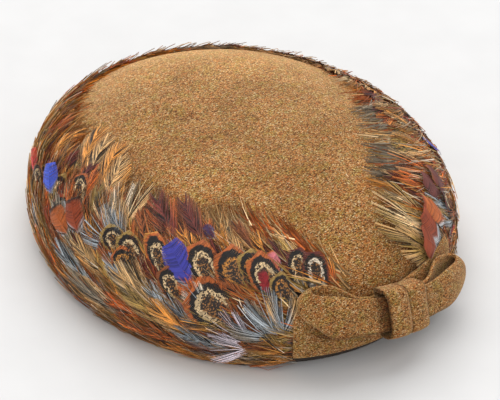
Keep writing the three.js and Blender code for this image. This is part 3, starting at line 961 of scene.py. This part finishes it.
CAMBER = 0.9  # mm that the middle of a feather stands over its edges
SHAFT_END = 0.97  # share of the feather's length
SHAFT_HALF = 0.35
SHAFT_OUT = 1.15
SHAFT_LIGHT = 0.8
WISP_LIGHT = (0.5, 0.92)
EDGES = np.array([-1.0, 1.0])


def shape_of(t, rise, fall):
    """Width of a feather along its length, 1 at its widest."""
    widest = rise / (rise + fall)
    return t**rise * (1 - t) ** fall / (widest**rise * (1 - widest) ** fall)


def lay_flat(feather, along, across, out):
    """Points on the hat for places on each feather, whose root, lean and bend are given."""
    extra = (None,) * (along.ndim - 1)
    value = {key: feather[key][(slice(None), *extra)] for key in ("turn", "up", "lean", "bend", "length")}
    across = across + value["bend"] * (along / value["length"]) ** 2
    right = along * np.sin(value["lean"]) + across * np.cos(value["lean"])
    rise = along * np.cos(value["lean"]) - across * np.sin(value["lean"])
    up = value["up"] + rise
    reach = np.interp(value["up"] + rise / 2, BAND_SIDE["up"], BAND_SIDE["reach"])
    points = point_on(BAND_SIDE, value["turn"] + right / np.maximum(reach, 40), np.maximum(up, 0.5), out)
    points[..., 2] = np.maximum(points[..., 2], LOWEST)
    return points.reshape(-1, 3)


def shared(draw, count, barbs, sharing):
    """One random value for every few neighbouring barbs."""
    values = draw(0, 1, (count, 2, barbs // sharing + 1, 1, 1))
    return values.repeat(sharing, axis=2)[:, :, :barbs]


def make_barbs(feather, kind, random):
    """Two rows of flat barbs for each feather, each barb a narrow strip."""
    barbs, curl, loose = kind["barbs"], kind["curl"], kind["loose"]
    count = len(feather["turn"])
    single = (count, 2, barbs, 1, 1)
    shape = (count, 2, barbs, BARB_STEPS + 1, 2)
    length, width, lift = [feather[key].reshape(-1, 1, 1, 1, 1) for key in ("length", "width", "lift")]
    side = EDGES[:, None, None, None]
    part = np.linspace(0, 1, BARB_STEPS + 1)[:, None]
    number = np.arange(barbs)[:, None, None] + 0.5
    stray = random.uniform(-BARB_STRAY, BARB_STRAY, single)
    root = FIRST_BARB + kind["span"] * (number + stray) / barbs
    clump = shared(random.normal, count, barbs, CLUMP_BARBS)
    steep = np.linspace(*kind["forward"], barbs)[:, None, None]
    forward = steep + loose * (clump + random.normal(0, 0.7, single))
    end = np.clip(root + (1 - root) * forward, root + 0.02, 0.99)
    uneven = 1 + 2 * loose * random.normal(0, 1, single)
    reach = side * (width / 2 * shape_of(end, kind["rise"], kind["fall"]) * uneven)
    middle = length * (root + (end - root) * part**curl)
    slope = length * (end - root) * curl * np.maximum(part, 0.15) ** (curl - 1)
    run = np.hypot(slope, reach)
    strip = EDGES * length / barbs * kind["thick"] * (BARB_HALF - BARB_TAPER * part)
    twist = kind["twist"] * random.normal(0, 1, single) * strip
    out = ROOT_OUT + lift * (middle / length) ** LIFT_POWER + CAMBER * (1 - part**2)
    along = middle - strip * reach / run
    across = reach * part**0.9 + strip * slope / run
    strand = shared(random.uniform, count, barbs, STRAND_BARBS)
    own = random.uniform(0, 1, single)
    row = BARB_TILE * (number + 0.4 * EDGES) / barbs
    return {
        "points": lay_flat(feather, along, across, out + twist + CLUMP_RISE * clump * part),
        "faces": strip_faces(count * 2 * barbs, BARB_STEPS),
        "owner": np.repeat(np.arange(count), math.prod(shape[1:])),
        "barb": as_rows(shape, np.where(own < STRAND_SHARE, strand, own)).ravel(),
        "flat": as_rows(shape, along / length, across / (width / 2)),
        "bake": tile_places(shape, 0.02 + 0.48 * (side > 0) + 0.46 * part, row),
    }


def middle_strips(feather, part, across, out, first=0):
    """One narrow strip along the middle of each feather, its points in pairs."""
    count = len(feather["turn"])
    return {
        "points": lay_flat(feather, feather["length"][:, None, None] * part, across, out),
        "faces": strip_faces(count, len(part) - 1, first),
        "owner": np.repeat(np.arange(count), 2 * len(part)),
    }


def make_shafts(feather, first):
    shape = (len(feather["turn"]), SHAFT_STEPS + 1, 2)
    part = np.linspace(0, SHAFT_END, SHAFT_STEPS + 1)[:, None]
    across = EDGES * SHAFT_HALF * (1.15 - part)
    out = ROOT_OUT + feather["lift"][:, None, None] * part**LIFT_POWER + SHAFT_OUT
    return {
        **middle_strips(feather, part, across, out, first),
        "barb": np.full(math.prod(shape), SHAFT_LIGHT),
        "flat": as_rows(shape, part, 0.0),
        "bake": tile_places(shape, 0.02 + 0.94 * part, 0.97 + 0.015 * EDGES),
    }


def make_single_barbs(wisp, random):
    """Single loose barbs: narrow strips that bend along their length."""
    shape = (len(wisp["turn"]), WISP_STEPS + 1, 2)
    width, out, lift = [wisp[key][:, None, None] for key in ("width", "out", "lift")]
    part = np.linspace(0, 1, WISP_STEPS + 1)[:, None]
    across = EDGES * width / 2 * (1.1 - part)
    strips = middle_strips(wisp, part, across, out + lift * part + 0.2 * EDGES)
    return {
        **strips,
        "barb": random.uniform(*WISP_LIGHT, shape[0])[strips["owner"]],
        "flat": as_rows(shape, 0.5 + 0.5 * part, 0.0),
        "bake": tile_places(shape, 0.05 + 0.9 * part, 0.5 + 0.4 * EDGES),
    }


def add_strips(name, strips, tint, edge, material):
    """A piece from strips whose points know the feather that they belong to."""
    mesh = make_mesh(name, strips["points"], strips["faces"])
    set_point_values(mesh, "barb", strips["barb"])
    set_point_values(mesh, "tint", tint[strips["owner"]])
    set_point_values(mesh, "edge", edge[strips["owner"]])
    set_uv(mesh, "feather", strips["flat"])
    set_uv(mesh, "OFBake", strips["bake"])
    add_piece(name, mesh, material)


def make_feathers(name, feather, kind, material, random):
    barbs = make_barbs(feather, kind, random)
    shafts = make_shafts(feather, len(barbs["points"]))
    add_strips(name, joined([barbs, shafts]), feather["tint"], feather["edge"], material)


def make_wisps(name, wisp, material, random):
    add_strips(name, make_single_barbs(wisp, random), wisp["tint"], wisp["tint"], material)


def tint_rows(names):
    return np.array([linear(TINTS[name]) for name in names])


def clears_bow(feather):
    """Whether the outer part of each feather keeps off the bow's base."""
    clear = np.ones(len(feather["turn"]), dtype=bool)
    for place in (0.3, 0.5, 0.75, 1.0):
        right = np.sin(feather["lean"]) * feather["length"] * place
        up = feather["up"] + np.cos(feather["lean"]) * feather["length"] * place
        turn = (feather["turn"] + right / MEAN_RADIUS + math.pi) % FULL_TURN - math.pi
        beside = np.abs(turn * HALF_WIDTH - BOW_OFFSET) > BASE_WIDTH / 2 + BASE_MARGIN
        bare = (turn >= math.radians(BARE_FROM)) & (turn <= math.radians(BARE_TO))
        clear &= beside | (~bare & (up > LOOP_TOP))
    return clear


def upright_beside_bow(turn, lean, length):
    """Leans that keep the feathers just right of the bow from crossing its base."""
    around = (turn + math.pi) % FULL_TURN - math.pi
    space = around * HALF_WIDTH - (BOW_OFFSET + BASE_WIDTH / 2 + BASE_MARGIN)
    most = np.arcsin(np.clip(space / length, 0, 1))
    return np.where(space > 0, np.maximum(lean, -most), lean)


def pick_tints(random, palette, turn, row):
    """Colours from a palette, mostly the same for neighbours."""
    patch = np.floor(turn / CLUMP_TURN + 0.5 * np.sin(9 * turn + row)).astype(int)
    chosen = random.integers(0, len(palette), PATCHES)[patch % PATCHES]
    stray = random.uniform(0, 1, len(turn)) < STRAY_SHARE
    chosen = np.where(stray, random.integers(0, len(palette), len(turn)), chosen)
    return tint_rows([palette[i] for i in chosen]) * random.uniform(*TINT_LIGHT, (len(turn), 1))


def joined(groups):
    return {key: np.concatenate([group[key] for group in groups]) for key in groups[0]}


def only(feather, kept):
    return {key: value[kept] for key, value in feather.items()}


def up_the_band(turn, share):
    """Length up the side in mm, from a share of the band's height there."""
    return BAND_HEM + (band_top(turn) - BAND_HEM) * share


def laid_feathers(random, turn, row, spread):
    """Feathers at these turns, each a little different from the measures of its row."""
    count = len(turn)
    up = up_the_band(turn, row["root"] + random.normal(0, spread["root"], count))
    lean = np.radians(-row["lean"] + random.normal(0, spread["lean"], count))
    bend = random.normal(*spread["bend"], count)
    length = row["length"] * random.uniform(*spread["length"], count)
    return {
        "turn": turn,
        "up": np.maximum(up, LOWEST_ROOT),
        "lean": upright_beside_bow(turn, lean, length),
        "bend": bend,
        "length": length,
        "width": row["width"] * random.uniform(*spread["width"], count),
        "lift": row["lift"] * random.uniform(*spread["lift"], count),
    }


def row_of_feathers(random, row, number):
    count = row["count"]
    turn = FULL_TURN * (np.arange(count) + random.uniform(-ROW_STRAY, ROW_STRAY, count)) / count
    feather = laid_feathers(random, turn, row, ROW_SPREAD)
    palette = PALETTES[row["palette"]]
    feather["tint"] = pick_tints(random, palette, turn, number)
    feather["edge"] = pick_tints(random, palette, turn, number + 50)
    return feather


def field_feathers(random, table):
    """Feathers in rows all round the band."""
    rows = [dict(zip(ROW_COLUMNS, row)) for row in table]
    field = joined([row_of_feathers(random, row, number) for number, row in enumerate(rows)])
    return only(field, clears_bow(field))


def placed_feathers(random, table):
    rows = [dict(zip(PLACED_COLUMNS, row)) for row in table]
    feather = {key: np.array([row[key] for row in rows], dtype=float) for key in PLACED_COLUMNS[:6]}
    feather["turn"] = np.radians(feather["turn"])
    feather["lean"] = np.radians(feather["lean"])
    feather["bend"] = random.normal(0, 1, len(rows))
    tints = [row["tints"].split() for row in rows]
    feather["tint"] = tint_rows([tint for tint, _ in tints])
    feather["edge"] = tint_rows([edge for _, edge in tints])
    return feather


def scattered_eyes(random):
    """Eyed feathers here and there round the middle of the band."""
    count = SCATTER["count"]
    turn = np.radians(random.uniform(*SCATTER_TURNS, count))
    feather = laid_feathers(random, turn, SCATTER, SCATTER_SPREAD)
    feather["tint"] = tint_rows(random.choice(["cream", "gold", "white"], count))
    feather["edge"] = tint_rows(random.choice(["rust", "russet", "olive"], count))
    return only(feather, clears_bow(feather))


def barb_sizes(random, count, sizes):
    return {
        "bend": random.normal(*sizes["bend"], count),
        "length": random.uniform(*sizes["length"], count),
        "width": random.uniform(*sizes["width"], count),
        "out": random.uniform(*sizes["out"], count),
        "lift": random.uniform(*sizes["lift"], count),
    }


def fringe(random, count):
    """Fine barb ends laid on the tweed along the feathers' upper edge."""
    lean, spread = FRINGE_LEAN
    turn = random.uniform(-math.pi, math.pi, count)
    feather = {
        "turn": turn,
        "up": band_top(turn) - random.uniform(*FRINGE_BELOW_TOP, count),
        "lean": np.radians(lean + random.normal(0, spread, count)),
        **barb_sizes(random, count, FRINGE_BARBS),
        "tint": pick_tints(random, PALETTES["fringe"], turn, 3),
    }
    return only(feather, clears_bow(feather))


def loose_barbs(random, count):
    """Light barbs that have come away and lie over the feathers."""
    turn = random.uniform(-math.pi, math.pi, count)
    part = random.uniform(*STRAY_PLACE, count)
    lean, less, spread = STRAY_LEAN
    feather = {
        "turn": turn,
        "up": up_the_band(turn, part),
        "lean": np.radians(lean + less * part + random.normal(0, spread, count)),
        **barb_sizes(random, count, STRAY_BARBS),
        "tint": tint_rows(random.choice(PALETTES["stray"], count)),
    }
    return only(feather, clears_bow(feather))


def make_backing(material):
    """A dark wall round the side that the feathers are stuck to."""
    turns = full_circle(BACKING_AROUND)[None, :]
    part = np.linspace(0, 1, BACKING_ROWS)[:, None]
    up = BAND_HEM + (band_top(turns) - BACKING_SHORT - BAND_HEM) * part
    points = point_on(BAND_SIDE, turns, up, BACKING_OUT)
    faces = grid_faces(BACKING_ROWS, BACKING_AROUND, closed_columns=True)
    mesh = make_mesh("feather_backing", points.reshape(-1, 3), faces)
    piece = add_piece("feather_backing", mesh, material)
    shape_with(piece, ("SOLIDIFY", {"thickness": BACKING_WALL * MM, "offset": 0.0}))
    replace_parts(piece, "feather_band")


def make_band():
    random = np.random.default_rng(SEED)
    hackle = hackle_material()
    make_backing(backing_material())
    make_feathers("feathers_low", field_feathers(random, FIELD_ROWS[:3]), HACKLE, hackle, random)
    make_feathers("feathers_middle", field_feathers(random, FIELD_ROWS[3:5]), HACKLE, hackle, random)
    make_feathers("feathers_high", field_feathers(random, FIELD_ROWS[5:]), HACKLE, hackle, random)
    make_feathers("feathers_long", placed_feathers(random, BIG_HACKLES), HACKLE, hackle, random)
    make_feathers("feathers_fan", placed_feathers(random, FANS), FAN, hackle, random)
    eyes = scattered_eyes(random)
    eyed = joined([placed_feathers(random, EYED), eyes])
    make_feathers("feathers_eyed", eyed, VANE, eyed_material(), random)
    make_feathers("feathers_tipped", placed_feathers(random, TIPPED), VANE, tipped_material(), random)
    make_wisps("feather_fringe", fringe(random, FRINGE_COUNT), hackle, random)
    make_wisps("feather_wisps", loose_barbs(random, STRAY_COUNT), hackle, random)


# Floor, light and camera

FLOOR_HALF = 3  # metres
FLOOR_GREYS = [(0.3, (213, 213, 213)), (0.7, (216, 216, 216))]
WORLD_COLOUR = (252, 251, 250)
WORLD_STRENGTH = 0.86
SUNS = [
    {"name": "key", "from": (0.45, 0.75, 1.35), "strength": 1.9},
    {"name": "fill", "from": (-0.9, -1.1, 1.2), "strength": 0.3},
]
SUN_WIDTH = 60  # degrees, for soft shadows


def make_floor():
    mesh = bpy.data.meshes.new("floor")
    corners = [(FLOOR_HALF * x, FLOOR_HALF * y, 0) for x, y in ((-1, -1), (1, -1), (1, 1), (-1, 1))]
    mesh.from_pydata(corners, [], [(0, 1, 2, 3)])
    floor = add_object("floor", mesh)
    tree = Tree("floor")
    colour = tree.ramp(tree.noise(tree.place(), 30.0, 2.0), in_light(FLOOR_GREYS))
    mesh.materials.append(tree.shade(Base_Color=colour, Roughness=0.9, Specular_IOR_Level=0.1))


def add_lights():
    world = bpy.data.worlds.new("studio")
    bpy.context.scene.world = world
    world.use_nodes = True
    background = world.node_tree.nodes["Background"]
    background.inputs["Color"].default_value = linear(WORLD_COLOUR)
    background.inputs["Strength"].default_value = WORLD_STRENGTH
    for sun in SUNS:
        light = bpy.data.lights.new(sun["name"], "SUN")
        light.angle = math.radians(SUN_WIDTH)
        light.energy = sun["strength"]
        lamp = add_object(sun["name"], light)
        lamp.rotation_euler = Vector(sun["from"]).to_track_quat("Z", "Y").to_euler()


def add_camera():
    azimuth = math.radians(CAMERA_AZIMUTH)
    elevation = math.radians(CAMERA_ELEVATION)
    level = math.cos(elevation)
    back = Vector((math.sin(azimuth) * level, -math.cos(azimuth) * level, math.sin(elevation)))
    right = Vector((math.cos(azimuth), math.sin(azimuth), 0))
    up = back.cross(right)
    target = Vector((CENTRE[0], CENTRE[1], CAMERA_AIM_HEIGHT))
    aim = target + right * CAMERA_AIM_RIGHT + up * CAMERA_AIM_UP
    place = (aim + back * CAMERA_DISTANCE) * MM
    camera = add_object("camera", bpy.data.cameras.new("camera"))
    camera.data.lens = CAMERA_LENS
    turn = Matrix((right, up, back)).transposed()
    camera.matrix_world = Matrix.Translation(place) @ turn.to_4x4()
    bpy.context.scene.camera = camera


bpy.context.scene.view_settings.view_transform = "Standard"
make_floor()
add_lights()
add_camera()
make_crown(tweed_material("tweed", CROWN_FLECKS, 0, CROWN_NAP))
make_bow(tweed_material("bow_tweed", BOW_FLECKS, BOW_WEAVE_TILT, BOW_NAP))
make_band()
